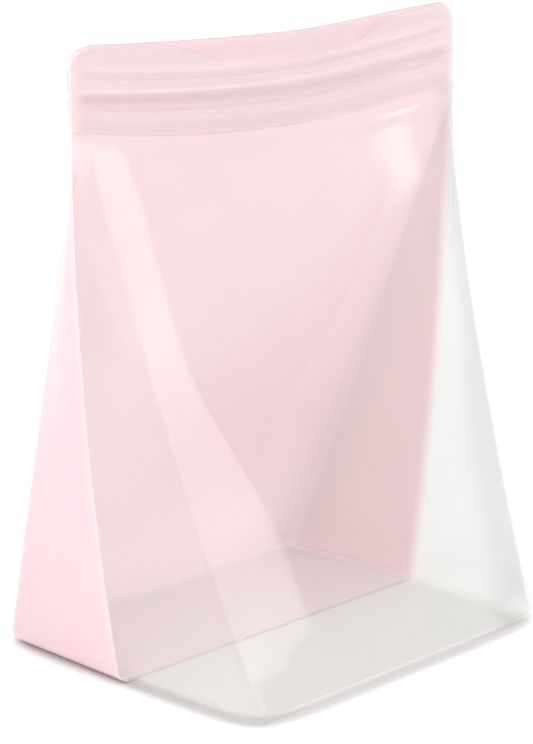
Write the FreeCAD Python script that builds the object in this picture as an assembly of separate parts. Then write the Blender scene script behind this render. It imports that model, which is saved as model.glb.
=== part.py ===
import FreeCAD, Part
import math
import os

# Stand-up silicone food bag with a press-to-close mouth.
# X runs along the mouth, -Y is the clear front, +Z is up, the origin is under the middle of the base.
# The clear front half and the pink back half are mirror copies but for the zip and the lips.

# Overall shape, mm
BASE_HALF_X = 71.0          # corner of the base
BASE_HALF_Y = 60.0
BASE_SEAM_X = 73.5          # side seam at the base, bowed past the corners
MOUTH_HALF_X = 90.0         # side seam at the mouth
CREASE_TOP_X = 84.5         # crease between panel and gusset, at the neck
NECK_Z = 174.3              # zip's lower edge in the middle of the mouth
ZIP_SAG = 5.7               # how much higher the zip sits at the corners
NECK_HALF_Y = 2.6
WALL = 1.6
RIM_Z = 7.0                 # the base turns up into the walls up to here
BASE_CORNER_R = 10.0        # in plan
NECK_CORNER_R = 2.4
INNER_CORNER_R_MIN = 0.8
BASE_EDGE_R = 4.5           # rounded edge under the base
MOVING_GAP = 0.4            # between a moving piece and a fixed one
SECTIONS = 7

# Flat panel, between the two creases
PANEL_HALF_X_BASE = 60.5
ZIP_HALF_X = 83.4

# Zip bands: heights above the sagging lower edge
BAND_SPLIT = 10.4
BAND_TOP = 18.6
BAND_INNER_Y = 0.2
BAND_CHAMFER = 0.55
RIB_HEIGHTS = {"lower": 5.2, "upper": 14.5}
RIB_THICK = 1.6
RIB_REACH = 1.5
RIB_TIP_CHAMFER = 0.4
GROOVE_DEPTH = 1.6
GROOVE_PLAY = 0.85          # above and below the rib, which the mouth's arc needs

# Lips above the zip
LIP_INNER_Y = 0.3
LIP_OUTER_Y = 2.5
LIP_TOP_Z = 206.0           # at the corners
BACK_LIP_MIDDLE_Z = 204.0
FRONT_LIP_CORNER_Z = 205.2
FRONT_SHOULDER_Z = 203.6
SCOOP_Z = 194.8             # the finger scoop in the front lip
SCOOP_HALF_X = 24.0
SHOULDER_HALF_X = 48.0
LIP_EDGE_R = 0.7
END_CORNER_R = 3.5

TALL = 300.0                # cutting blocks reach past everything
MARGIN = 10.0
ON_PLANE = 0.01             # how near an edge has to be to count as lying on a plane


def vec(x, y, z):
    return FreeCAD.Vector(x, y, z)


def part_way(low, high, share):
    return low + (high - low) * share


# ---------- cross-sections of the bag ----------

def outer_corners(z):
    """Crease x, crease y and seam x of the outside at height z."""
    rise = min(z / NECK_Z, 1.0)
    crease_x = part_way(BASE_HALF_X, CREASE_TOP_X, rise)
    crease_y = part_way(BASE_HALF_Y, NECK_HALF_Y, rise)
    seam_x = part_way(BASE_SEAM_X, MOUTH_HALF_X, 1.0 - (1.0 - rise) ** 2)
    return crease_x, crease_y, seam_x


def inner_corners(z):
    """The same three numbers one wall thickness further in."""
    crease_x, crease_y, seam_x = outer_corners(z)
    run_x = seam_x - crease_x
    length = math.hypot(run_x, crease_y)
    inner_y = crease_y - WALL
    inner_seam_x = seam_x - WALL * length / crease_y
    inner_crease_x = inner_seam_x - run_x * inner_y / crease_y
    return inner_crease_x, inner_y, inner_seam_x


def corner_radius(z):
    return part_way(BASE_CORNER_R, NECK_CORNER_R, min(z / NECK_Z, 1.0))


def round_corner(before, corner, after, radius):
    """First tangent point, middle and last tangent point of a rounded corner."""
    to_before = (before - corner).normalize()
    to_after = (after - corner).normalize()
    half_angle = to_before.getAngle(to_after) / 2.0
    tangent = radius / math.tan(half_angle)
    bisector = (to_before + to_after).normalize()
    centre = corner + bisector * (radius / math.sin(half_angle))
    return corner + to_before * tangent, centre - bisector * radius, corner + to_after * tangent


def rounded_path(corners, radius, z):
    """Edges from the left seam round the front to the right seam."""
    crease_x, crease_y, seam_x = corners
    points = [vec(-seam_x, 0, z), vec(-crease_x, -crease_y, z),
              vec(crease_x, -crease_y, z), vec(seam_x, 0, z)]
    left = round_corner(points[0], points[1], points[2], radius)
    right = round_corner(points[1], points[2], points[3], radius)
    return [Part.makeLine(points[0], left[0]),
            Part.Arc(*left).toShape(),
            Part.makeLine(left[2], right[0]),
            Part.Arc(*right).toShape(),
            Part.makeLine(right[2], points[3])]


def outer_path(z):
    return rounded_path(outer_corners(z), corner_radius(z), z)


def inner_path(z):
    radius = max(corner_radius(z) - WALL, INNER_CORNER_R_MIN)
    return rounded_path(inner_corners(z), radius, z)


def closed(path):
    """A path closed by a straight line along the middle of the bag."""
    start = path[0].Vertexes[0].Point
    end = path[-1].Vertexes[-1].Point
    return Part.Wire(path + [Part.makeLine(end, start)])


def wall_section(z):
    outside = outer_path(z)
    inside = inner_path(z)
    left = Part.makeLine(inside[0].Vertexes[0].Point, outside[0].Vertexes[0].Point)
    right = Part.makeLine(outside[-1].Vertexes[-1].Point, inside[-1].Vertexes[-1].Point)
    return Part.Wire(Part.__sortEdges__(outside + inside + [left, right]))


# ---------- cutting blocks ----------

def circle_centre_z():
    """Centre of the circle that the sagging zip follows."""
    radius = (MOUTH_HALF_X ** 2 + ZIP_SAG ** 2) / (2.0 * ZIP_SAG)
    return NECK_Z + radius


def sag_z(x, height=0.0):
    """Height of the zip's curve at x, a given distance above its lower edge."""
    centre = circle_centre_z()
    radius = centre - NECK_Z - height
    return centre - math.sqrt(radius ** 2 - x ** 2)


def sag_arc(half_x, height=0.0):
    return Part.Arc(vec(-half_x, 0, sag_z(half_x, height)), vec(0, 0, sag_z(0, height)),
                    vec(half_x, 0, sag_z(half_x, height))).toShape()


def thick_outline(edges, low_y, high_y):
    """A flat outline in XZ made into a plate from low_y to high_y."""
    face = Part.Face(Part.Wire(Part.__sortEdges__(edges)))
    face.translate(vec(0, low_y, 0))
    return face.extrude(vec(0, high_y - low_y, 0))


def below_zip():
    """Everything under the zip's lower edge."""
    half_x = MOUTH_HALF_X + MARGIN
    top = sag_arc(half_x)
    left = vec(-half_x, 0, -MARGIN)
    right = vec(half_x, 0, -MARGIN)
    edges = [top, Part.makeLine(right, top.Vertexes[-1].Point),
             Part.makeLine(left, right), Part.makeLine(left, top.Vertexes[0].Point)]
    return thick_outline(edges, -TALL, TALL)


def between_creases(extra):
    """The wedge of space that holds the flat panels, widened by extra each side."""
    slope = (ZIP_HALF_X - PANEL_HALF_X_BASE) / sag_z(ZIP_HALF_X)
    low = PANEL_HALF_X_BASE + extra
    high = low + slope * TALL
    outline = Part.makePolygon([vec(-low, 0, 0), vec(low, 0, 0), vec(high, 0, TALL),
                                vec(-high, 0, TALL), vec(-low, 0, 0)])
    return thick_outline(outline.Edges, -TALL, TALL)


def side_block(side):
    """Everything on one side: -1 is left, 1 is right."""
    block = Part.makeBox(TALL, 2 * TALL, 2 * TALL)
    block.translate(vec(0 if side > 0 else -TALL, -TALL, -TALL))
    return block


def biggest_solid(shape):
    return max(shape.Solids, key=lambda solid: solid.Volume)


# ---------- walls and base ----------

def front_wall():
    """The clear wall, wrapped round from one side seam to the other."""
    heights = [part_way(RIM_Z, NECK_Z, step / (SECTIONS - 1)) for step in range(SECTIONS)]
    wall = Part.makeLoft([wall_section(z) for z in heights], True, False)
    collar = Part.Face(wall_section(NECK_Z)).extrude(vec(0, 0, ZIP_SAG))
    return wall.fuse(collar).common(below_zip())


def front_panel(wall):
    panel = wall.common(between_creases(0.0))
    raised = Part.makeBox(2 * TALL, 2 * TALL, TALL, vec(-TALL, -TALL, RIM_Z + MOVING_GAP))
    return biggest_solid(panel.common(raised))


def gusset(wall, side):
    return biggest_solid(wall.cut(between_creases(MOVING_GAP)).common(side_block(side)))


def floor_edges(solid, z):
    """The curved loop of edges at height z, without the straight one along the base seam."""
    def is_floor(edge):
        box = edge.BoundBox
        return max(abs(box.ZMax - z), abs(box.ZMin - z)) < ON_PLANE and box.YMin < -ON_PLANE
    return [edge for edge in solid.Edges if is_floor(edge)]


def tray(path_at, low_z, edge_r):
    """A solid block with drafted sides and a rounded bottom edge, up to the rim."""
    block = Part.makeLoft([closed(path_at(low_z)), closed(path_at(RIM_Z))], True, True)
    return block.makeFillet(edge_r, floor_edges(block, low_z))


def front_base_half():
    return tray(outer_path, 0.0, BASE_EDGE_R).cut(tray(inner_path, WALL, BASE_EDGE_R - WALL))


# ---------- zip ----------

def swept_band(profile):
    """A profile in YZ, drawn at the middle of the mouth, swept along the zip's curve."""
    face = Part.Face(Part.makePolygon(profile + [profile[0]]))
    centre = vec(0, 0, circle_centre_z())
    half_turn = math.degrees(math.asin(MOUTH_HALF_X / (circle_centre_z() - NECK_Z)))
    face.rotate(centre, vec(0, 1, 0), -half_turn)
    band = face.revolve(centre, vec(0, 1, 0), 2 * half_turn)
    trim = Part.makeBox(2 * ZIP_HALF_X, TALL, TALL, vec(-ZIP_HALF_X, -TALL / 2, 0))
    return biggest_solid(band.common(trim))


def band_profile(low, high, sign, fitting):
    """Outline of one band. sign is -1 at the front; fitting adds the rib's or groove's points."""
    outer = sign * NECK_HALF_Y
    skin = sign * (NECK_HALF_Y - BAND_CHAMFER)
    inner = sign * BAND_INNER_Y
    bottom = NECK_Z + low
    top = NECK_Z + high
    return ([vec(0, inner, bottom), vec(0, skin, bottom), vec(0, outer, bottom + BAND_CHAMFER),
             vec(0, outer, top - BAND_CHAMFER), vec(0, skin, top), vec(0, inner, top)]
            + fitting)


def groove_points(height):
    """Groove cut into the front band's inner face."""
    middle = NECK_Z + height
    half = RIB_THICK / 2 + GROOVE_PLAY
    mouth = -BAND_INNER_Y
    floor = -BAND_INNER_Y - GROOVE_DEPTH
    return [vec(0, mouth, middle + half), vec(0, floor, middle + half),
            vec(0, floor, middle - half), vec(0, mouth, middle - half)]


def rib_points(height):
    """Rib standing on the back band's inner face."""
    middle = NECK_Z + height
    half = RIB_THICK / 2
    foot = BAND_INNER_Y
    tip = BAND_INNER_Y - RIB_REACH
    shoulder = tip + RIB_TIP_CHAMFER
    blunt = half - RIB_TIP_CHAMFER
    return [vec(0, foot, middle + half), vec(0, shoulder, middle + half), vec(0, tip, middle + blunt),
            vec(0, tip, middle - blunt), vec(0, shoulder, middle - half), vec(0, foot, middle - half)]


def zip_band(side, level):
    spans = {"lower": (0.0, BAND_SPLIT), "upper": (BAND_SPLIT, BAND_TOP)}
    low, high = spans[level]
    height = RIB_HEIGHTS[level]
    if side == "front":
        return swept_band(band_profile(low, high, -1, groove_points(height)))
    return swept_band(band_profile(low, high, 1, rib_points(height)))


# ---------- lips and closed ends ----------

def s_curve(start, end):
    """A smooth step between two level points."""
    reach = vec((end.x - start.x) / 2.0, 0, 0)
    curve = Part.BezierCurve()
    curve.setPoles([start, start + reach, end - reach, end])
    return curve.toShape()


def lip_plate(top_edges, left_top, right_top, low_y, high_y):
    bottom = sag_arc(ZIP_HALF_X, BAND_TOP)
    edges = top_edges + [bottom, Part.makeLine(bottom.Vertexes[0].Point, left_top),
                         Part.makeLine(bottom.Vertexes[-1].Point, right_top)]
    return thick_outline(edges, low_y, high_y)


def round_top(plate):
    """Round the long edges along a lip's free top."""
    def on_top(edge):
        box = edge.BoundBox
        middle = edge.CenterOfMass
        runs_along = box.YMax - box.YMin < ON_PLANE and box.XMax - box.XMin > LIP_EDGE_R
        return runs_along and middle.z > sag_z(middle.x, BAND_TOP) + LIP_EDGE_R
    return plate.makeFillet(LIP_EDGE_R, [edge for edge in plate.Edges if on_top(edge)])


def back_lip():
    left = vec(-ZIP_HALF_X, 0, LIP_TOP_Z)
    right = vec(ZIP_HALF_X, 0, LIP_TOP_Z)
    top = Part.Arc(left, vec(0, 0, BACK_LIP_MIDDLE_Z), right).toShape()
    return round_top(lip_plate([top], left, right, LIP_INNER_Y, LIP_OUTER_Y))


def front_lip():
    corner = vec(ZIP_HALF_X, 0, FRONT_LIP_CORNER_Z)
    shoulder = vec(SHOULDER_HALF_X, 0, FRONT_SHOULDER_Z)
    scoop = vec(SCOOP_HALF_X, 0, SCOOP_Z)
    mirror = {name: vec(-point.x, 0, point.z)
              for name, point in (("corner", corner), ("shoulder", shoulder), ("scoop", scoop))}
    top = [s_curve(mirror["corner"], mirror["shoulder"]),
           s_curve(mirror["shoulder"], mirror["scoop"]),
           Part.makeLine(mirror["scoop"], scoop),
           s_curve(scoop, shoulder),
           s_curve(shoulder, corner)]
    return round_top(lip_plate(top, mirror["corner"], corner, -LIP_OUTER_Y, -LIP_INNER_Y))


def zip_end(side, low_y, high_y, top_z):
    """The solid end of the mouth, where front and back are bonded together."""
    inner_x = side * (ZIP_HALF_X + MOVING_GAP)
    outer_x = side * MOUTH_HALF_X
    round_x = outer_x - side * END_CORNER_R
    lean = END_CORNER_R * (1.0 - math.sqrt(0.5))
    foot = vec(inner_x, 0, sag_z(abs(inner_x)))
    heel = vec(outer_x, 0, sag_z(abs(outer_x)))
    low_round = vec(outer_x, 0, top_z - END_CORNER_R)
    mid_round = vec(outer_x - side * lean, 0, top_z - lean)
    top_round = vec(round_x, 0, top_z)
    top_inner = vec(inner_x, 0, top_z)
    edges = [Part.makeLine(foot, heel), Part.makeLine(heel, low_round),
             Part.Arc(low_round, mid_round, top_round).toShape(),
             Part.makeLine(top_round, top_inner), Part.makeLine(top_inner, foot)]
    return thick_outline(edges, low_y, high_y)


# ---------- the whole bag ----------

def mirrored_to_back(shape):
    return shape.mirror(vec(0, 0, 0), vec(0, 1, 0))


def make_nodes():
    wall = front_wall()
    front = {"panel": front_panel(wall),
             "left_gusset": gusset(wall, -1),
             "right_gusset": gusset(wall, 1),
             "base_half": front_base_half()}
    nodes = {}
    for name, shape in front.items():
        nodes["front_" + name] = shape
        nodes["back_" + name] = mirrored_to_back(shape)
    for side in ("front", "back"):
        for level in ("lower", "upper"):
            nodes[side + "_" + level + "_zip_band"] = zip_band(side, level)
    nodes["front_lip"] = front_lip()
    nodes["back_lip"] = back_lip()
    for side, word in ((-1, "left"), (1, "right")):
        nodes["front_" + word + "_zip_end"] = zip_end(side, -NECK_HALF_Y, 0.0, FRONT_LIP_CORNER_Z)
        nodes["back_" + word + "_zip_end"] = zip_end(side, 0.0, NECK_HALF_Y, LIP_TOP_Z)
    return nodes


os.makedirs("parts", exist_ok=True)
for node_name, node_shape in make_nodes().items():
    biggest_solid(node_shape).exportStep("parts/" + node_name + ".step")
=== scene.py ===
import math

import bpy
import numpy as np
from mathutils import Matrix, Vector


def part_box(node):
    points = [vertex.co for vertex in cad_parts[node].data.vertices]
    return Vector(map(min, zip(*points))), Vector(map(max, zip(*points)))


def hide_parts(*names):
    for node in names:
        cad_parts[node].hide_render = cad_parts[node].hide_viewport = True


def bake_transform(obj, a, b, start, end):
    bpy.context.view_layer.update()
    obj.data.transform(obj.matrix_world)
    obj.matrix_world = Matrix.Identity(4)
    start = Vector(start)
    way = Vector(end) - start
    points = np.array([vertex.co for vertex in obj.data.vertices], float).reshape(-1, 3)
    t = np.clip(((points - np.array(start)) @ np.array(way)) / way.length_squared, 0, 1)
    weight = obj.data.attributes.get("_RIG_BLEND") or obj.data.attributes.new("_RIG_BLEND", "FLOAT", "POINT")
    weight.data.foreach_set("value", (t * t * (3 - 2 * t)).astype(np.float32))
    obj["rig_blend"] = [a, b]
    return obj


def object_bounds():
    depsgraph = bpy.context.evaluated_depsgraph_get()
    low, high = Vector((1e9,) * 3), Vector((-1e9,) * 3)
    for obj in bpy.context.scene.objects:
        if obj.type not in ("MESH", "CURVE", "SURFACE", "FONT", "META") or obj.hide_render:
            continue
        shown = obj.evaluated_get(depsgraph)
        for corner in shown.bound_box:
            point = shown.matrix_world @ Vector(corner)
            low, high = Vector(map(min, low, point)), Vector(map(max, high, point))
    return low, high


# A stand-up silicone bag: a clear front shell and a pink back shell, bonded along the middle of the
# sides and base. Metres, in the CAD frame: X along the mouth, -Y the clear front, +Z up.

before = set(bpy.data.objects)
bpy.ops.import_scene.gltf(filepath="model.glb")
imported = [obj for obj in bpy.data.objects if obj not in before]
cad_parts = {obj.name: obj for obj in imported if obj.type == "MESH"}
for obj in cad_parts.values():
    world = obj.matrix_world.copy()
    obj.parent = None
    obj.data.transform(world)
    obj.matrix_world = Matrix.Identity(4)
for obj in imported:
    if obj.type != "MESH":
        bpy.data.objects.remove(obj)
CAD_LOW, CAD_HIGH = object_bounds()
MM = 0.001

# ---------- driving sizes: the first ones are read from the frame ----------

MOUTH_HALF_X = CAD_HIGH.x
LIP_TOP_Z = CAD_HIGH.z
RIM_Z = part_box("front_base_half")[1].z                  # top of the base's rounded edge
NECK_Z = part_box("front_lower_zip_band")[0].z            # zip's lower edge in the middle of the mouth
ZIP_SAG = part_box("front_left_gusset")[1].z - NECK_Z     # how much higher it is at the corners
NECK_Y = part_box("back_lip")[1].y                        # outside of the mouth
ZIP_HALF_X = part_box("front_lip")[1].x                   # where the bonded ends of the mouth begin

BASE_X = 71.0 * MM              # corners of the base
BASE_Y = 60.0 * MM
BASE_SEAM_X = 73.5 * MM         # ends of the bond across the base
CREASE_TOP_X = {"front": (83.0 * MM, 89.0 * MM), "back": (88.0 * MM, 89.0 * MM)}     # left, right
CREASE_TOP_Y = 1.2 * MM
HOLLOW = {"front": (3.7 * MM, 5.0 * MM), "back": (0.3 * MM, 0.0)}   # how far a crease dips inwards
MARGIN_WIDTHS = (27.0 * MM, 12.2 * MM)      # the turned strip along each crease, low down and high up
MARGIN_NARROWS = (0.27, 0.66)               # shares of the wall's height between which it narrows
MARGIN_SLOPE = 0.21                         # how steeply the margin is turned
SWELL_STARTS = (-0.02, 0.14)                # shares of the height over which the turned margin builds up
SWELL_EASES = (0.85, 1.0)                   # and over which it eases under the zip, by this share
SWELL_EASED_BY = 0.4
GUSSET_BOW = 1.2 * MM
NEAR_ZIP = (0.965, 1.0)                     # here the wall takes up the mouth's flat section
BASE_CORNER_R = 6.0 * MM
NECK_CORNER_R = {"front": 1.9 * MM, "back": 3.5 * MM}
CORNER_SHARPENS = {"front": 5.0, "back": 1.5}     # how soon a crease is as sharp as at the neck
LONGEST_TANGENT = 0.6          # a rounded crease takes up at most this share of a gusset half
BASE_EDGE_R = 4.5 * MM
WALL = 1.6 * MM
BOND_THINNING = 0.2            # share of the wall's thickness that is left at the bond
BOND_REACH = 3.0 * MM          # how far from the bond the walls thin out
END_TAPER = 1.2 * MM           # the same for the ends of the zip bands and lips
HALF_GAP = 0.02 * MM           # each shell stays this far from the bond plane
THINNEST_BAND = 0.3 * MM       # least thickness of the zip bands and lips, and of the lips' rounded top
THINNEST_EDGE = 0.2 * MM

BELOW_BAND = 0.2 * MM          # the wall's last row lies this far below the zip's lower edge
BAND_PROUD = 0.7 * MM          # the zip bands stand out from the wall
BAND_SPLIT = 10.4 * MM         # heights above the zip's lower edge
BAND_TOP = 18.6 * MM
BAND_STEP = 0.3 * MM
BAND_EDGE = 1.2 * MM           # how softly the lower band begins, and where the upper one slopes back
BAND_SLOPES_BACK = (BAND_TOP - 1.0 * MM, BAND_TOP + 0.3 * MM)
SPLIT_DEPTH = 0.8 * MM         # the dent between the two bands, and the fine ridge above it
SPLIT_HALF = 0.9 * MM
RIDGE_OVER_SPLIT = 1.9 * MM
RIDGE_HALF = 0.6 * MM
RIDGE_HEIGHT = 0.15 * MM
RIBS = (5.2 * MM, 14.5 * MM)
RIB_HALF = 0.8 * MM
GROOVE_HALF = 1.5 * MM
RIB_REACH = 1.3 * MM
GROOVE_PLAY = 0.3 * MM
RIB_SOFTNESS = 0.6 * MM
TRACK_INNER_Y = 0.3 * MM
TRACK_FADE = 1.5 * MM          # ribs and grooves run out over this length at the ends of the mouth
END_X = {"front": (84.0 * MM, 88.6 * MM), "back": (88.6 * MM, 88.6 * MM)}    # the mouth's corners
END_R = 1.4 * MM
WELD_X = 85.6 * MM             # the welded strip at each end of the zip begins here
RIGHT_END_LIFT = 2.4 * MM      # the soft mouth's right end stands higher than the left
RIGHT_LIFT_X = (0.0, 75 * MM)
RIGHT_LIFT_HEIGHTS = (-2 * MM, 14 * MM)
HANG_HEIGHTS = (0.0, BAND_SPLIT, BAND_TOP)          # heights on the zip, and how far the middle of the
HANG_RISES = (-1.3 * MM, 1.2 * MM, 0.4 * MM)        # mouth is above (or below) a true arc there

LIP_CORNER_X = (12.0 * MM, 8.0 * MM)     # the lips' rounded corners: width of the left and right one
LIP_CORNER_Z = 6.2 * MM                  # and height
LIP_EDGE_R = 0.8 * MM
LIP_EDGE_SHARE = 0.6                     # the rounded top takes at most this share of a low lip
LOWEST_LIP = 0.5 * MM
SCOOP_DROP = 12.4 * MM                   # how far below the lips' top the scoop's left end lies
SCOOP_TILT = 3.0 * MM                    # and how much higher its right end is
SCOOP_TILT_X = (-15 * MM, 40 * MM)
LEFT_SHOULDER_DROP = 2.4 * MM
LEFT_SHOULDER_X = (13 * MM, 56 * MM)
RIGHT_SHOULDER_DROP = 0.4 * MM
RIGHT_SHOULDER_X = (33 * MM, 58 * MM)
RIGHT_SHOULDER_RISE = 1.4 * MM
RIGHT_RISE_X = (55 * MM, 80 * MM)
BACK_LIP_DROP = 0.3 * MM
BACK_LIP_DIP = 2.5 * MM
BACK_RISE_X = (5 * MM, 75 * MM)


def smooth(low, high, value):
    """0 below low, 1 above high, and a smooth step between."""
    t = np.clip((value - low) / (high - low), 0.0, 1.0)
    return t * t * (3.0 - 2.0 * t)


def mix(a, b, t):
    return a + (b - a) * t


def bump_at(value, middle, width):
    return np.exp(-((value - middle) / width) ** 2)


# ---------- cross-sections ----------

COLUMNS_PANEL = 22
COLUMNS_CORNER = 9
COLUMNS_GUSSET = 16
GUSSET_CROWDING = 1.6          # above 1, a gusset's columns stand closer together near the bond
BESIDE_EDGE = 0.012            # extra columns this close to the margin's edge keep it crisp
BASE_RINGS = 15
EDGE_ROWS = 8
WALL_ROWS = 71
WALL_ROW_CROWDING = 0.94
LIP_ROWS = 8
LIP_EDGE_ROWS = 4


def column_plan():
    """For each column from the left seam to the right: side sign, zone and place within the zone."""
    half = [("panel", t) for t in np.linspace(0, 1 - BESIDE_EDGE, COLUMNS_PANEL)]
    half += [("margin", t) for t in (0.0, 4 * BESIDE_EDGE, 0.2, 0.4, 0.6, 0.8, 1 - 4 * BESIDE_EDGE)]
    half += [("corner", t) for t in np.linspace(0, 1, COLUMNS_CORNER, endpoint=False)]
    gusset = 1.0 - (1.0 - np.linspace(0, 1, COLUMNS_GUSSET)) ** GUSSET_CROWDING
    half += [("gusset", t) for t in gusset]
    left = [(-1.0, zone, t) for zone, t in reversed(half[1:])]
    return left + [(1.0, zone, t) for zone, t in half]


COLUMNS = column_plan()
SIDE = np.array([c[0] for c in COLUMNS])
ZONE = np.array([c[1] for c in COLUMNS])
PLACE = np.array([c[2] for c in COLUMNS])
ACROSS = SIDE * np.where(ZONE == "panel", PLACE, 1.0)      # -1 left to 1 right


def path_points(crease_x, crease_y, seam_x, radius, width):
    """x and depth (0 at the seam, positive outwards) of every column; width is that of the margins."""
    run = np.hypot(seam_x - crease_x, crease_y)
    out_x = (seam_x - crease_x) / run
    out_y = -crease_y / run
    angle = np.arccos(np.clip(-out_x, -1.0, 1.0))
    tangent = np.minimum(radius / np.tan(angle / 2), run * LONGEST_TANGENT)
    radius = tangent * np.tan(angle / 2)
    turn = math.pi - angle
    flat_x = crease_x - tangent
    panel = (PLACE * (flat_x - width), crease_y)
    margin = (mix(flat_x - width, flat_x, PLACE), crease_y)
    bend = PLACE * turn
    corner = (flat_x + radius * np.sin(bend), crease_y - radius * (1.0 - np.cos(bend)))
    start_x = crease_x + out_x * tangent
    start_y = crease_y + out_y * tangent
    gusset = (mix(start_x, seam_x, PLACE), mix(start_y, 0.0, PLACE))
    zones = [ZONE == "panel", ZONE == "margin", ZONE == "corner"]
    x = np.select(zones, [panel[0], margin[0], corner[0]], gusset[0])
    depth = np.select(zones, [panel[1], margin[1], corner[1]], gusset[1])
    return SIDE * x, depth


def seam_at(z):
    rise = np.clip(z / NECK_Z, 0.0, 1.0)
    return mix(BASE_SEAM_X, MOUTH_HALF_X, 1.0 - (1.0 - rise) ** 2)


def wall_sizes(z, side):
    """Crease x and depth, seam x, corner radius and margin width of one shell at height z."""
    rise = np.clip(z / NECK_Z, 0.0, 1.0)
    dish = 4.0 * rise * (1.0 - rise)
    left, right = CREASE_TOP_X[side]
    hollow = mix(*HOLLOW[side], (ACROSS + 1.0) / 2.0)
    crease_x = mix(BASE_X, np.where(SIDE < 0, left, right), rise)
    crease_y = mix(BASE_Y, CREASE_TOP_Y, rise) - hollow * dish
    radius = mix(NECK_CORNER_R[side], BASE_CORNER_R, (1.0 - rise) ** CORNER_SHARPENS[side])
    width = mix(*MARGIN_WIDTHS, smooth(*MARGIN_NARROWS, rise))
    return crease_x, crease_y, seam_at(z), radius, width


def sag_z(x, height):
    """Height at x of a line that follows the zip, a given distance above its lower edge."""
    radius = (MOUTH_HALF_X ** 2 + ZIP_SAG ** 2) / (2.0 * ZIP_SAG)
    return NECK_Z + radius - np.sqrt((radius - height) ** 2 - x ** 2) + soft_lift(x, height)


def soft_lift(x, height):
    """The soft mouth does not lie dead true: its right end stands higher, its lower band hangs down."""
    middle = 1.0 - (x / MOUTH_HALF_X) ** 2
    hang = np.interp(height, HANG_HEIGHTS, HANG_RISES)
    lift = RIGHT_END_LIFT * smooth(*RIGHT_LIFT_X, x) * smooth(*RIGHT_LIFT_HEIGHTS, height)
    return hang * middle + lift


def inset(x, depth, amount):
    """Moves a section's columns inwards, square to the section's own line."""
    dx = np.gradient(x)
    dy = np.gradient(-depth)
    length = np.hypot(dx, dy)
    return x - amount * dy / length, np.maximum(depth - amount * dx / length, 0.0)


# ---------- the rows of a shell, from the middle of the base up to the lip ----------

def wall_thickness(depth):
    """The two shells thin out towards the bond between them."""
    return WALL * mix(BOND_THINNING, 1.0, smooth(0.0, BOND_REACH, depth))


def base_rows(side):
    """The flat underside, in ever larger outlines, and the rounded edge round it."""
    rows = []
    edge_x, edge_depth = inset(*path_points(*wall_sizes(np.zeros(len(SIDE)), side)), BASE_EDGE_R)
    for share in np.linspace(0, 1, BASE_RINGS + 1)[1:]:
        depth = edge_depth * share
        rows.append((edge_x * share, depth, np.zeros(len(SIDE)), wall_thickness(depth)))
    for turn in np.linspace(0, math.pi / 2, EDGE_ROWS + 1)[1:]:
        z = np.full(len(SIDE), BASE_EDGE_R * (1.0 - math.cos(turn)))
        x, depth = path_points(*wall_sizes(z, side))
        x, depth = inset(x, depth, BASE_EDGE_R * (1.0 - math.sin(turn)))
        rows.append((x, depth, z, wall_thickness(depth)))
    return rows


def wall_rows(side, wave):
    """The walls, from the rounded base edge to the zip, whose sagging line the top rows take up."""
    rows = []
    band_x, band_depth = end_section(side)
    top_z = sag_z(band_x, 0.0) - BELOW_BAND
    for even_share in np.linspace(0, 1, WALL_ROWS + 1)[1:]:
        share = even_share ** WALL_ROW_CROWDING
        z = mix(BASE_EDGE_R, top_z, share)
        sizes = wall_sizes(z, side)
        x, depth = path_points(*sizes)
        on_margin = np.select([ZONE == "panel", ZONE == "margin"], [1.0, 1.0 - PLACE], 0.0)
        turned = smooth(*SWELL_STARTS, share) * (1.0 - SWELL_EASED_BY * smooth(*SWELL_EASES, share))
        swell = MARGIN_SLOPE * sizes[-1] * on_margin * turned
        bow = GUSSET_BOW * np.sin(math.pi * PLACE) * (ZONE == "gusset") * math.sin(math.pi * share)
        depth = depth + swell + wave(x, z) * (1.0 - np.abs(ACROSS) ** 3)
        near_zip = smooth(*NEAR_ZIP, share)
        depth = mix(depth, band_depth, near_zip)
        rows.append((mix(x + SIDE * bow, band_x, near_zip), depth, z, wall_thickness(depth)))
    return rows


def end_section(side):
    """The flat section of the mouth, from the zip up."""
    crease_x = np.where(SIDE < 0, *END_X[side])
    sizes = [np.full(len(SIDE), v) for v in (NECK_Y, MOUTH_HALF_X, END_R, MARGIN_WIDTHS[1])]
    return path_points(crease_x, *sizes)


def band_out(height):
    """How far the outside of the zip bands stands out, with the groove between the two bands."""
    rise = smooth(0.0, BAND_EDGE, height)
    dent = bump_at(height, BAND_SPLIT, SPLIT_HALF)
    ridge = bump_at(height, BAND_SPLIT + RIDGE_OVER_SPLIT, RIDGE_HALF)
    top = smooth(*BAND_SLOPES_BACK, height)
    return rise * BAND_PROUD - SPLIT_DEPTH * dent + RIDGE_HEIGHT * ridge - top * 0.5 * BAND_PROUD


def track_inner(height, is_front):
    """Depth of the inner face of the zip bands: grooves in the front one, ribs on the back one."""
    shape = 0.0
    for rib in RIBS:
        half = GROOVE_HALF if is_front else RIB_HALF
        on = 1.0 - smooth(half - RIB_SOFTNESS, half + RIB_SOFTNESS, abs(height - rib))
        shape += on * (RIB_REACH + GROOVE_PLAY if is_front else -RIB_REACH - TRACK_INNER_Y)
    return TRACK_INNER_Y + shape


def band_rows(side):
    """The two zip bands, with their ribs or grooves inside."""
    rows = []
    end_x, end_depth = end_section(side)
    middle = 1.0 - smooth(ZIP_HALF_X - TRACK_FADE, ZIP_HALF_X, np.abs(end_x))
    for height in np.arange(0.0, BAND_TOP, BAND_STEP):
        z = sag_z(end_x, height)
        out = band_out(height) * smooth(0.0, NECK_Y, end_depth)
        depth = end_depth + out
        inner = mix(HALF_GAP, track_inner(height, side == "front"), middle)
        rows.append((end_x, depth, z, np.maximum(depth - inner, THINNEST_BAND)))
    return rows


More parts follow.
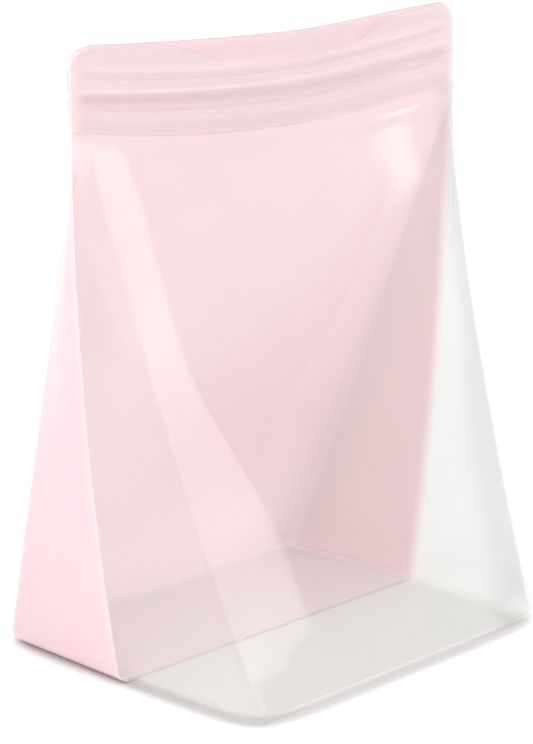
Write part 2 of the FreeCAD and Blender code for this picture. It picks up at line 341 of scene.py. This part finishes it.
def front_lip_top(x):
    """The front lip: nearly level at its shoulders, with a finger scoop in the middle."""
    scoop = LIP_TOP_Z - SCOOP_DROP + SCOOP_TILT * smooth(*SCOOP_TILT_X, x)
    left = LIP_TOP_Z - LEFT_SHOULDER_DROP
    right = LIP_TOP_Z - RIGHT_SHOULDER_DROP + RIGHT_SHOULDER_RISE * smooth(*RIGHT_RISE_X, x)
    from_left = (left - scoop) * smooth(*LEFT_SHOULDER_X, -x)
    return scoop + from_left + (right - scoop) * smooth(*RIGHT_SHOULDER_X, x)


def back_lip_top(x):
    """The back lip: taller, dipping a little in the middle, with its right end higher."""
    level = LIP_TOP_Z - BACK_LIP_DROP + RIGHT_END_LIFT * smooth(*BACK_RISE_X, x)
    return level - BACK_LIP_DIP * (1.0 - (x / MOUTH_HALF_X) ** 2)


def lip_rows(side, top_line):
    """The lip above the zip, up to its rounded top."""
    rows = []
    end_x, end_depth = end_section(side)
    past = 1.0 - (MOUTH_HALF_X - np.abs(end_x)) / np.where(SIDE < 0, *LIP_CORNER_X)
    top_z = top_line(end_x) - LIP_CORNER_Z * (1.0 - np.sqrt(1.0 - np.clip(past, 0.0, 1.0) ** 2))
    foot_z = sag_z(end_x, BAND_TOP)
    foot_out = band_out(BAND_TOP)
    top_z = np.maximum(top_z, foot_z + LOWEST_LIP)
    edge_r = np.minimum(LIP_EDGE_R, LIP_EDGE_SHARE * (top_z - foot_z))
    for share in np.linspace(0, 1, LIP_ROWS + 1)[1:]:
        z = mix(foot_z, top_z - edge_r, share)
        depth = end_depth + foot_out * (1.0 - share) * smooth(0.0, NECK_Y, end_depth)
        rows.append((end_x, depth, z, np.maximum(depth - TRACK_INNER_Y, THINNEST_BAND)))
    for turn in np.linspace(0, math.pi / 2, LIP_EDGE_ROWS + 1)[1:]:
        z = top_z - edge_r * (1.0 - math.sin(turn))
        shrink = edge_r * (1.0 - math.cos(turn)) * smooth(0.0, NECK_Y, end_depth)
        depth = end_depth - shrink
        thick = np.maximum(end_depth - TRACK_INNER_Y - 2 * shrink, THINNEST_EDGE)
        rows.append((end_x, depth, z, thick))
    return rows


# ---------- from rows to a closed mesh ----------

def surface_normals(points):
    """Unit normals of a grid of points, rows by columns, pointing out of the bag."""
    along = np.gradient(points, axis=1)
    up = np.gradient(points, axis=0)
    normal = np.cross(along, up)
    return normal / np.maximum(np.linalg.norm(normal, axis=2, keepdims=True), 1e-9)


def grid_faces(rows, columns, first, flip):
    faces = []
    for r in range(rows - 1):
        for c in range(columns - 1):
            a = first + r * columns + c
            face = (a, a + 1, a + columns + 1, a + columns)
            faces.append(face[::-1] if flip else face)
    return faces


STRAIGHT_OUT = np.array([0.0, -1.0, 0.0])      # the zip and lips get their thickness in this direction
SHARP_ANGLE = math.radians(38.0)


def shell_object(name, rows, is_front, vertical_from):
    """A closed shell: the outer grid, the inner grid one wall further in, and the rims between them."""
    outer = np.stack([np.stack([x, -depth, z + 0 * x], axis=1) for x, depth, z, _ in rows])
    thick = np.stack([np.broadcast_to(t, (len(SIDE),)) for _, _, _, t in rows])
    normal = surface_normals(outer)
    normal[vertical_from:] = STRAIGHT_OUT
    inner = outer - normal * thick[:, :, None]
    beside_bond = 1.0 - smooth(0.0, END_TAPER, -outer[vertical_from:, :, 1])
    inner[vertical_from:, :, 0] -= SIDE * WALL * BOND_THINNING * beside_bond
    outer[:, :, 1] = np.minimum(outer[:, :, 1], 0.0) - HALF_GAP
    inner[:, :, 1] = np.minimum(inner[:, :, 1], -HALF_GAP)
    inner[:, :, 2] = np.where(outer[:, :, 2] < WALL, np.maximum(inner[:, :, 2], WALL), inner[:, :, 2])
    count, columns = outer.shape[:2]
    vertices = np.concatenate([outer.reshape(-1, 3), inner.reshape(-1, 3)])
    poles = np.array([[0.0, -HALF_GAP, 0.0], [0.0, -HALF_GAP, WALL]])
    vertices = np.concatenate([vertices, poles])
    second = count * columns
    pole_out, pole_in = 2 * second, 2 * second + 1
    faces = grid_faces(count, columns, 0, False) + grid_faces(count, columns, second, True)
    for c in range(columns - 1):
        faces.append((pole_out, c + 1, c))
        faces.append((pole_in, second + c, second + c + 1))
        top = (count - 1) * columns + c
        faces.append((top, top + 1, second + top + 1, second + top))
    for r in range(count - 1):
        left = r * columns
        right = left + columns - 1
        faces.append((left, left + columns, second + left + columns, second + left))
        faces.append((right + columns, right, second + right, second + right + columns))
    faces.append((0, second, pole_in, pole_out))
    faces.append((columns - 1, pole_out, pole_in, second + columns - 1))
    if not is_front:
        vertices[:, 1] *= -1.0
        faces = [face[::-1] for face in faces]
    mesh = bpy.data.meshes.new(name)
    mesh.from_pydata(vertices.tolist(), [], faces)
    mesh.validate()
    mesh.shade_smooth()
    mesh.set_sharp_from_angle(angle=SHARP_ANGLE)
    shell = bpy.data.objects.new(name, mesh)
    bpy.context.collection.objects.link(shell)
    return shell


WAVE_HEIGHT = 0.5 * MM


def front_wave(x, z):
    """Shallow hollows and swells of the clear wall."""
    return WAVE_HEIGHT * np.sin(x / (31 * MM) + 0.8) * np.sin(z / (34 * MM))


def back_wave(x, z):
    """The same for the pink wall, with other lengths."""
    return WAVE_HEIGHT * np.sin(x / (38 * MM) - 0.5) * np.sin(z / (41 * MM))


GROOVE_FADES_X = (-60 * MM, 20 * MM)       # the groove's painted shade is darkest on the left, and fades to this share
GROOVE_RIGHT = 0.55
EDGE_SHADE = 0.22                          # painted shade at the zip's lower edge, then the painted highlight lines
RIDGE_HIGHLIGHT = 0.5
BAND_TOP_HIGHLIGHT = 0.4
RIB_HIGHLIGHT = 0.28
WELD_PALE = 0.25
LIP_PALE = 0.3
LOW_FADES = (12 * MM, 55 * MM)             # heights between which the inside's painted glow low down ends
FRONT_LOW = 0.35                           # share of that painted glow on the clear half
FRONT_FOLD_GLOW = 0.8                          # the clear left fold is painted brighter low down, a painted glow
FRONT_FOLD_GLOW_FADES = (60 * MM, 130 * MM)
BACK_WALL_LOW = 0.3                        # share of the painted glow on the pink walls above the base
BACK_LEFT_GLOW = 0.25                      # the pink wall's left half is painted a little lighter, a painted glow
BACK_LEFT_X = (-45 * MM, 5 * MM)
BACK_LEFT_FADES = (90 * MM, 130 * MM)
# painted glow on the pink left fold, standing in for light through the silicone
BACK_FOLD_GLOW = 0.25
ZIP_LEAST_LOW = 0.05
OUTSIDE_FOLD_GLOW = 0.6                        # share of the left folds' painted glow on their outside
ZIP_SHADE = 0.6                             # painted shade inside the back's zip, more so inside the lip
ZIP_SHADE_ENDS = 0.75                       # and less towards both ends of the mouth
SHADE_LEFT_X = (-70 * MM, -10 * MM)
SHADE_RIGHT_X = (20 * MM, 75 * MM)
FOLD_SHADE_Z = (4 * MM, 12 * MM)            # heights over which the right folds' painted shade begins
BACK_FOLD_SHADE = (0.35, 0.6)               # its strength in the pink fold, and near the crease


def zip_tones(side, heights, x):
    """For rows by columns: painted shade in the zip's groove and along its lower edge, painted highlights
    along its lines, its paler welded ends and front lip, and where it is.
    """
    ends = smooth(WELD_X, WELD_X + 0.6 * MM, np.abs(x))[None, :]
    fade = mix(1.0, GROOVE_RIGHT, smooth(*GROOVE_FADES_X, x))[None, :]
    # painted shade in the groove between the two bands, and along the zip's lower edge
    groove = bump_at(heights, BAND_SPLIT - 0.4 * MM, 1.3 * MM)[:, None] * (1.0 - ends) * fade
    edge = EDGE_SHADE * bump_at(heights, 0.6 * MM, 0.8 * MM)[:, None] * (1.0 - ends)
    # painted highlights along the fine ridge, the band's top and the ribs' edges; the welded ends are paler
    # silicone
    ridge = RIDGE_HIGHLIGHT * bump_at(heights, BAND_SPLIT + RIDGE_OVER_SPLIT, RIDGE_HALF)
    ridge = ridge + BAND_TOP_HIGHLIGHT * bump_at(heights, BAND_TOP, 0.7 * MM)
    half = GROOVE_HALF if side == "front" else RIB_HALF
    ribs = sum(RIB_HIGHLIGHT * bump_at(np.abs(heights - rib), half, 0.8 * MM) for rib in RIBS)
    on_zip = smooth(0.0, 0.4 * MM, heights)[:, None]
    pale = np.maximum((ridge + ribs)[:, None] * (1.0 - ends), WELD_PALE * ends) * on_zip
    lip = LIP_PALE * smooth(BAND_TOP, BAND_TOP + 1 * MM, heights)[:, None] * (side == "front")
    pale = np.maximum(pale, lip)
    # the lips' top rim is painted fully light, a painted highlight
    pale[-1] = 1.0
    return groove + edge, pale, on_zip


def painted_glow_tones(side, z, across, left_fold, right_fold):
    """Painted light: how much paler the inside is painted low down, and how brightly the left fold is
    painted.
    """
    low = 1.0 - smooth(*LOW_FADES, z)
    if side == "front":
        low = FRONT_LOW * low * mix(1.0, 0.5, smooth(2 * MM, 6 * MM, z))
        # the clear left fold's painted glow, standing in for light through the silicone
        fold_glow = FRONT_FOLD_GLOW * (1.0 - smooth(*FRONT_FOLD_GLOW_FADES, z)) * left_fold
        return np.maximum(low, fold_glow), fold_glow
    low = low * mix(1.0, BACK_WALL_LOW, smooth(0.05 * MM, 1.0 * MM, z))
    low = low * (1.0 - right_fold * smooth(0.05 * MM, 1.5 * MM, z))
    left_half = 1.0 - smooth(*BACK_LEFT_X, across)
    low = np.maximum(low, BACK_LEFT_GLOW * left_half * (1.0 - smooth(*BACK_LEFT_FADES, z)))
    return low, BACK_FOLD_GLOW * left_fold + 0.0 * z


def painted_shade_tones(side, heights, x, z, on_zip, right_fold):
    """Painted shade: inside the back's zip and lip, and on the right folds below the zip."""
    upper = mix(ZIP_SHADE, 1.0, smooth(BAND_TOP - 1 * MM, BAND_TOP + 1 * MM, heights))
    from_left = mix(ZIP_SHADE_ENDS, 1.0, smooth(*SHADE_LEFT_X, x))
    to_right = mix(1.0, ZIP_SHADE_ENDS, smooth(*SHADE_RIGHT_X, x))
    upper = (upper * smooth(0.0, 1 * MM, heights))[:, None] * (from_left * to_right)
    upper = upper * (side == "back")
    # painted shade on the clear shell's right margin, and on both shells' right folds
    right_margin = (SIDE > 0) * (ZONE == "margin") * smooth(0.0, 0.6, PLACE) * (side == "front")
    near_crease = 1.0 - smooth(0.05, 0.4, np.where(ZONE == "gusset", PLACE, 0.0))
    strength = 1.0 if side == "front" else mix(*BACK_FOLD_SHADE, near_crease)
    fold = strength * (right_fold + right_margin) * smooth(*FOLD_SHADE_Z, z)
    return upper, fold * (1.0 - on_zip)


def mark_tones(shell, side, rows, band_start):
    """Vertex values for the material: painted shade in the zip's groove, painted highlights along its lines,
    a painted glow low down and on the left folds, and painted shade inside the back's zip and on the right
    folds.
    """
    heights = np.full(len(rows), -50 * MM)
    heights[band_start:] = np.arange(len(rows) - band_start) * BAND_STEP
    x = end_section(side)[0]
    z = np.stack([row[2] + 0 * x for row in rows])
    across = np.stack([row[0] + 0 * x for row in rows])
    fold = (ZONE == "gusset") + (ZONE == "corner") * PLACE
    left_fold = (SIDE < 0) * fold
    right_fold = (SIDE > 0) * fold
    groove, pale, on_zip = zip_tones(side, heights, x)
    low, fold_glow = painted_glow_tones(side, z, across, left_fold, right_fold)
    low = np.maximum(low, ZIP_LEAST_LOW * on_zip)
    upper, fold = painted_shade_tones(side, heights, x, z, on_zip, right_fold)
    # outside and inside values of each painted tone: groove shade, highlights, glow and shade
    tones = {
        "zip_groove_shade": (groove, groove),
        "zip_pale_and_highlight": (pale, pale),
        "painted_glow": (OUTSIDE_FOLD_GLOW * fold_glow, low),
        "painted_shade": (fold * (side == "front"), np.maximum(upper, fold)),
    }
    for name, outside_and_inside in tones.items():
        grids = [np.broadcast_to(grid, z.shape).ravel() for grid in outside_and_inside]
        poles = [0.0, 1.0 if name == "painted_glow" else 0.0]
        attribute = shell.data.attributes.new(name, "FLOAT", "POINT")
        attribute.data.foreach_set("value", np.concatenate(grids + [poles]).astype(np.float32))


def make_shell(side, is_front):
    rows = base_rows(side) + wall_rows(side, front_wave if is_front else back_wave)
    band_start = len(rows)
    rows += band_rows(side) + lip_rows(side, front_lip_top if is_front else back_lip_top)
    shell = shell_object(side + "_shell", rows, is_front, band_start)
    mark_tones(shell, side, rows, band_start)
    return shell


# ---------- materials ----------

def new_material(name):
    material = bpy.data.materials.new(name)
    material.use_nodes = True
    return material, material.node_tree.nodes, material.node_tree.links


def noise(nodes, scale, detail):
    texture = nodes.new("ShaderNodeTexNoise")
    texture.inputs["Scale"].default_value = scale
    texture.inputs["Detail"].default_value = detail
    return texture


def object_coordinates(nodes):
    return nodes.new("ShaderNodeTexCoord").outputs["Object"]


def map_range(nodes, links, source, low, high):
    node = nodes.new("ShaderNodeMapRange")
    node.inputs["To Min"].default_value = low
    node.inputs["To Max"].default_value = high
    links.new(source, node.inputs["Value"])
    return node.outputs["Result"]


def mix_colour(nodes, links, factor, first, second):
    """A colour between two others; the first may be a plain colour or another node's output."""
    node = nodes.new("ShaderNodeMix")
    node.data_type = "RGBA"
    links.new(factor, node.inputs["Factor"])
    if isinstance(first, tuple):
        node.inputs["A"].default_value = (*first, 1.0)
    else:
        links.new(first, node.inputs["A"])
    node.inputs["B"].default_value = (*second, 1.0)
    return node.outputs["Result"]


def vertex_value(nodes, name):
    node = nodes.new("ShaderNodeAttribute")
    node.attribute_name = name
    return node.outputs["Fac"]


CLOUD_SCALE = 18.0
WAVE_SCALE = 45.0
WAVE_STRENGTH = 0.05
ROUGHNESS_SPREAD = 0.03
SILICONE_IOR = 1.41
COAT_ROUGHNESS = 0.07
SCATTER_SHARES = (1.0, 0.85, 0.85)         # how far red, green and blue light spreads inside


def silicone(name, colours, roughness, alpha, scatter, reach):
    """Moulded silicone: soft clouds in its colour and roughness, faint waves, and the marked tones, which
    paint light and shade into its colour.
    """
    cloudy, plain = colours["cloudy"], colours["plain"]
    material, nodes, links = new_material(name)
    shader = nodes["Principled BSDF"]
    place = object_coordinates(nodes)
    cloud = noise(nodes, CLOUD_SCALE, 3.0)
    waves = noise(nodes, WAVE_SCALE, 1.0)
    links.new(place, cloud.inputs["Vector"])
    links.new(place, waves.inputs["Vector"])
    colour = mix_colour(nodes, links, cloud.outputs["Fac"], plain, cloudy)
    for tone in ("painted_glow", "painted_shade", "zip_groove_shade", "zip_pale_and_highlight"):
        colour = mix_colour(nodes, links, vertex_value(nodes, tone), colour, colours[tone])
    links.new(colour, shader.inputs["Base Color"])
    smoothest = roughness - ROUGHNESS_SPREAD
    roughest = roughness + ROUGHNESS_SPREAD
    rough = map_range(nodes, links, cloud.outputs["Fac"], smoothest, roughest)
    links.new(rough, shader.inputs["Roughness"])
    bump = nodes.new("ShaderNodeBump")
    bump.inputs["Strength"].default_value = WAVE_STRENGTH
    bump.inputs["Distance"].default_value = 1.0 * MM
    links.new(waves.outputs["Fac"], bump.inputs["Height"])
    links.new(bump.outputs["Normal"], shader.inputs["Normal"])
    shader.inputs["IOR"].default_value = SILICONE_IOR
    shader.inputs["Coat Weight"].default_value = 1.0
    shader.inputs["Coat Roughness"].default_value = COAT_ROUGHNESS
    shader.inputs["Alpha"].default_value = alpha
    shader.inputs["Subsurface Weight"].default_value = scatter
    shader.inputs["Subsurface Radius"].default_value = SCATTER_SHARES
    shader.inputs["Subsurface Scale"].default_value = reach
    return material


# ---------- floor, light, camera ----------

TARGET = Vector((0.0, 0.0, 90 * MM))
CAMERA_AZIMUTH = math.radians(46.53)
CAMERA_PITCH = math.radians(13.71)
CAMERA_DISTANCE = 794 * MM
CAMERA_SIDE = 3.5 * MM
CAMERA_RISE = 0.5 * MM
CAMERA_LENS = 115.06


def camera_axes():
    forward = Vector((math.sin(CAMERA_AZIMUTH) * math.cos(CAMERA_PITCH),
                      math.cos(CAMERA_AZIMUTH) * math.cos(CAMERA_PITCH), -math.sin(CAMERA_PITCH)))
    right = Vector((math.cos(CAMERA_AZIMUTH), -math.sin(CAMERA_AZIMUTH), 0.0))
    return forward, right, right.cross(forward)


def make_camera():
    forward, right, up = camera_axes()
    data = bpy.data.cameras.new("camera")
    data.lens = CAMERA_LENS
    data.sensor_width = 36.0
    data.clip_start = 0.01
    data.clip_end = 50.0
    camera = bpy.data.objects.new("camera", data)
    rotation = Matrix((right, up, -forward)).transposed().to_4x4()
    place = TARGET - forward * CAMERA_DISTANCE - right * CAMERA_SIDE + up * CAMERA_RISE
    camera.matrix_world = Matrix.Translation(place) @ rotation
    bpy.context.collection.objects.link(camera)
    bpy.context.scene.camera = camera


def area_light(name, place, aim, size, power):
    data = bpy.data.lights.new(name, "AREA")
    data.shape = "RECTANGLE"
    data.size, data.size_y = size
    data.energy = power
    light = bpy.data.objects.new(name, data)
    light.location = place
    light.rotation_mode = "QUATERNION"
    light.rotation_quaternion = (Vector(aim) - Vector(place)).to_track_quat("-Z", "Y")
    bpy.context.collection.objects.link(light)


FLOOR_Z = -0.3 * MM             # just under the base, which would otherwise share its plane
FLOOR_HALF = 6.0
FLOOR_REACH = 8.0               # distances from the middle of the base, 1 at its outline
FLOOR_ROUNDNESS = 9.0           # power of the rounded rectangle that measures those distances
FLOOR_GLOW = ((0.0, 0.31), (0.90, 0.31), (0.95, 0.0), (0.995, 0.02),      # distance, glow; the dip at the base's outline is a painted contact shadow
              (1.07, 0.37), (3.5, 0.38), (8.0, 0.49))
FLOOR_PLAIN_GLOW = 0.31         # on the two far sides, where the floor has no painted contact shadow
FAR_SIDE = (0.1, -0.25)         # the plain glow fades in between these, measured towards the near corner


def math_node(nodes, links, operation, first, second):
    node = nodes.new("ShaderNodeMath")
    node.operation = operation
    links.new(first, node.inputs[0])
    if isinstance(second, float):
        node.inputs[1].default_value = second
    else:
        links.new(second, node.inputs[1])
    return node.outputs["Value"]


def vector_node(nodes, links, operation, first, second=None):
    node = nodes.new("ShaderNodeVectorMath")
    node.operation = operation
    links.new(first, node.inputs[0])
    if second is not None:
        node.inputs[1].default_value = second
    return node


def distance_from_base(nodes, links, place):
    """Distance from the middle of the base, 1 at its outline, as a share of the floor's reach."""
    folded = vector_node(nodes, links, "ABSOLUTE", place)
    to_outline = (1.0 / BASE_X, 1.0 / BASE_Y, 0.0)
    scaled = vector_node(nodes, links, "MULTIPLY", folded.outputs["Vector"], to_outline)
    split = nodes.new("ShaderNodeSeparateXYZ")
    links.new(scaled.outputs["Vector"], split.inputs["Vector"])
    powers = [math_node(nodes, links, "POWER", split.outputs[axis], FLOOR_ROUNDNESS) for axis in "XY"]
    total = math_node(nodes, links, "ADD", *powers)
    distance = math_node(nodes, links, "POWER", total, 1.0 / FLOOR_ROUNDNESS)
    share = map_range(nodes, links, distance, 0.0, 1.0)
    share.node.inputs["From Max"].default_value = FLOOR_REACH
    return share


def floor_glow(nodes, links, place):
    """The floor's glow, with a painted contact shadow along the base's two near sides only."""
    ramp = nodes.new("ShaderNodeValToRGB")
    ramp.color_ramp.interpolation = "EASE"
    for stop, (distance, glow) in enumerate(FLOOR_GLOW):
        if stop > 1:
            ramp.color_ramp.elements.new(distance / FLOOR_REACH)
        ramp.color_ramp.elements[stop].position = distance / FLOOR_REACH
        ramp.color_ramp.elements[stop].color = (glow, glow, glow, 1.0)
    links.new(distance_from_base(nodes, links, place), ramp.inputs["Fac"])
    along = vector_node(nodes, links, "DOT_PRODUCT", place, (-1.0 / BASE_X, -1.0 / BASE_Y, 0.0))
    far_side = map_range(nodes, links, along.outputs["Value"], 0.0, 1.0)
    far_side.node.inputs["From Min"].default_value = FAR_SIDE[0]
    far_side.node.inputs["From Max"].default_value = FAR_SIDE[1]
    plain_glow = math_node(nodes, links, "MULTIPLY", far_side, FLOOR_PLAIN_GLOW)
    return math_node(nodes, links, "MAXIMUM", ramp.outputs["Color"], plain_glow)


def make_floor():
    mesh = bpy.data.meshes.new("floor")
    signs = ((-1, -1), (1, -1), (1, 1), (-1, 1))
    corners = [(x * FLOOR_HALF, y * FLOOR_HALF, FLOOR_Z) for x, y in signs]
    mesh.from_pydata(corners, [], [(0, 1, 2, 3)])
    floor = bpy.data.objects.new("floor", mesh)
    bpy.context.collection.objects.link(floor)
    material, nodes, links = new_material("white_floor")
    shader = nodes["Principled BSDF"]
    shader.inputs["Base Color"].default_value = (0.8, 0.8, 0.8, 1.0)
    shader.inputs["Emission Color"].default_value = (1.0, 1.0, 1.0, 1.0)
    shader.inputs["Roughness"].default_value = 0.9
    shader.inputs["Specular IOR Level"].default_value = 0.1
    links.new(floor_glow(nodes, links, object_coordinates(nodes)), shader.inputs["Emission Strength"])
    mesh.materials.append(material)


SPOT_X = 54.0 * MM              # where the small card's reflection lies on the front wall
SPOT_Z = 154.6 * MM
SPOT_DISTANCE = 500 * MM
NEARBY = 4 * MM
SPOT_SIZE = (0.016, 0.06)
SPOT_POWER = 0.030
WORLD_STRENGTH = (0.84, 0.57)   # on the left and on the right
SOFTBOXES = (                   # name, place, point it faces, width and height, power in watts
    ("key_softbox", (-1.1, -0.75, 0.45), (0, 0, 0.1), (0.75, 0.9), 4.0),
    ("strip_softbox", (0.43, -1.07, 0.40), (-0.05, -0.03, 0.1), (0.3, 0.9), 5.1),
    ("top_softbox", (0.0, 0.1, 1.25), (0, 0, 0.1), (0.9, 0.9), 3.0),
    ("back_softbox", (-0.3, 1.2, 0.9), (0, 0, 0.1), (1.0, 1.0), 2.0),
)


def front_wall_at(x, z):
    """The point of the front wall's outside nearest to x and z, and its normal."""
    outside = bpy.data.objects["front_shell"].data.vertices
    close_by = [v for v in outside if abs(v.co.x - x) < NEARBY and abs(v.co.z - z) < NEARBY]
    near = [v for v in close_by if v.normal.y < 0]
    vertex = min(near, key=lambda v: (v.co.x - x) ** 2 + (v.co.z - z) ** 2)
    return vertex.co.copy(), vertex.normal.copy()


def mirror_place(point, normal, distance):
    """Where a light stands so that the main camera sees it reflected at a point of the front wall."""
    to_camera = (bpy.context.scene.camera.matrix_world.translation - point).normalized()
    return point + (2.0 * to_camera.dot(normal) * normal - to_camera) * distance


def make_world():
    """A white studio, a little brighter on the left."""
    world = bpy.data.worlds.new("studio")
    world.use_nodes = True
    nodes, links = world.node_tree.nodes, world.node_tree.links
    background = nodes["Background"]
    background.inputs["Color"].default_value = (1.0, 1.0, 1.0, 1.0)
    split = nodes.new("ShaderNodeSeparateXYZ")
    links.new(nodes.new("ShaderNodeTexCoord").outputs["Generated"], split.inputs["Vector"])
    strength = map_range(nodes, links, split.outputs["X"], *WORLD_STRENGTH)
    strength.node.inputs["From Min"].default_value = -1.0
    links.new(strength, background.inputs["Strength"])
    bpy.context.scene.world = world


def make_light():
    make_world()
    for softbox in SOFTBOXES:
        area_light(*softbox)
    spot_point, wall_normal = front_wall_at(SPOT_X, SPOT_Z)
    spot_place = mirror_place(spot_point, wall_normal, SPOT_DISTANCE)
    area_light("spot_card", spot_place, spot_point, SPOT_SIZE, SPOT_POWER)


def look_settings():
    settings = bpy.context.scene.view_settings
    settings.view_transform = "Standard"
    settings.look = "None"


# ---------- the bag ----------

# Besides each silicone's own plain and cloudy colours, the tones paint in light and shade: a painted glow,
# painted shade, painted shade in the zip's groove, and painted highlights along the zip with its paler
# welded ends.
CLEAR_COLOURS = {
    "plain": (0.635, 0.665, 0.625),
    "cloudy": (0.665, 0.695, 0.655),
    "painted_glow": (0.93, 0.99, 0.93),
    "painted_shade": (0.40, 0.42, 0.40),
    "zip_groove_shade": (0.55, 0.52, 0.51),
    "zip_pale_and_highlight": (0.97, 0.95, 0.95),
}
PINK_COLOURS = {
    "plain": (0.755, 0.485, 0.525),
    "cloudy": (0.775, 0.505, 0.545),
    "painted_glow": (1.00, 0.775, 0.815),
    "painted_shade": (0.565, 0.45, 0.465),
    "zip_groove_shade": (0.65, 0.45, 0.475),
    "zip_pale_and_highlight": (0.84, 0.64, 0.68),
}
CLEAR = silicone("clear_silicone_frosted", CLEAR_COLOURS,
                 roughness=0.3, alpha=0.16, scatter=0.0, reach=1 * MM)
PINK = silicone("pink_silicone_milky", PINK_COLOURS,
                roughness=0.35, alpha=1.0, scatter=1.0, reach=8 * MM)

SIDE_NODES = ("panel", "left_gusset", "right_gusset", "base_half", "lower_zip_band",
              "upper_zip_band", "lip", "left_zip_end", "right_zip_end")

# The mouth opens from its middle: a wall follows its joint fully on the centre line, and not at all at
# the side seams and on the base, where the two shells are bonded.
OPENING_POWER = 2.4
SEAM_WIDTH = 1.0 * MM           # this much beside each seam doesn't move at all


def hang_on_wall(shell, body, hinge_y):
    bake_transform(shell, "base_and_sides", body, start=(0, hinge_y, RIM_Z), end=(0, hinge_y, 0.25 * NECK_Z))
    points = np.array([vertex.co for vertex in shell.data.vertices])
    weights = shell.data.attributes["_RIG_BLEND"]
    upward = np.zeros(len(points), dtype=np.float32)
    weights.data.foreach_get("value", upward)
    seam_x = seam_at(points[:, 2])
    across = np.clip(np.abs(points[:, 0]) / (seam_x - SEAM_WIDTH), 0.0, 1.0)
    weights.data.foreach_set("value", (upward * (1.0 - across ** OPENING_POWER)).astype(np.float32))


def make_bag():
    for side, is_front, material in (("front", True, CLEAR), ("back", False, PINK)):
        shell = make_shell(side, is_front)
        shell.data.materials.append(material)
        hinge_y = -BASE_Y if is_front else BASE_Y
        hang_on_wall(shell, side + "_wall", hinge_y)
        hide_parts(*[side + "_" + node for node in SIDE_NODES])


make_bag()
make_floor()
make_camera()
make_light()
look_settings()
